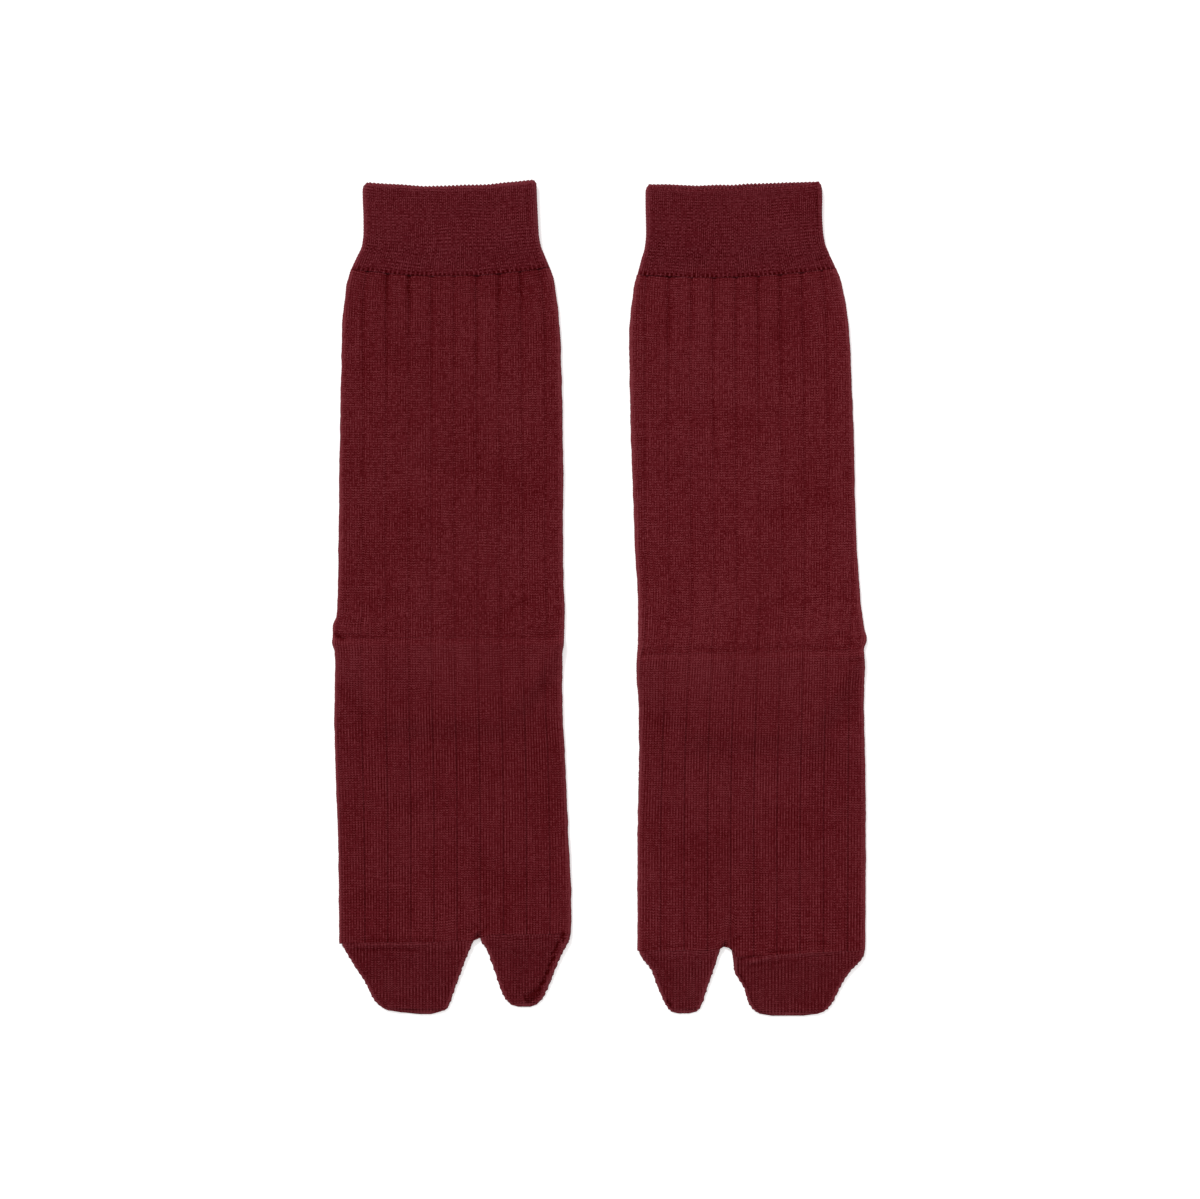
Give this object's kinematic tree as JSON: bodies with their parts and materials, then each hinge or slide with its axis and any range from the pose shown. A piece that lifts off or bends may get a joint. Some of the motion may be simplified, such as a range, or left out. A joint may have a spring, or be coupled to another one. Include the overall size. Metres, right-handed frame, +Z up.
{
  "type": "pair of split-toe crew socks",
  "caption": "Ribbed knit crew socks with a separate big toe pocket and doubled cuff, laid flat side by side with the heels folded under.",
  "frame": {"origin": "on the surface that the socks lie on, under the middle of the pair", "axes": "+Y from the toes towards the cuffs, +Z up off the surface, +X towards the wearer's left sock"},
  "size_m": [0.2398, 0.3751, 0.0056],
  "materials": {
    "cuff_knit": "matte fine 1x1 rib knit, wine red",
    "leg_knit": "matte fine wide-rib knit, wine red",
    "heel_knit": "matte fine plain knit, wine red",
    "toe_knit": "matte fine plain knit, wine red"
  },
  "bodies": {
    "root": {"right_cuff": "cuff_knit", "right_leg_foot": "leg_knit", "right_heel": "heel_knit", "right_toes": "toe_knit", "right_big_toe": "toe_knit", "left_cuff": "cuff_knit", "left_leg_foot": "leg_knit", "left_heel": "heel_knit", "left_toes": "toe_knit", "left_big_toe": "toe_knit"}
  },
  "joints": []
}
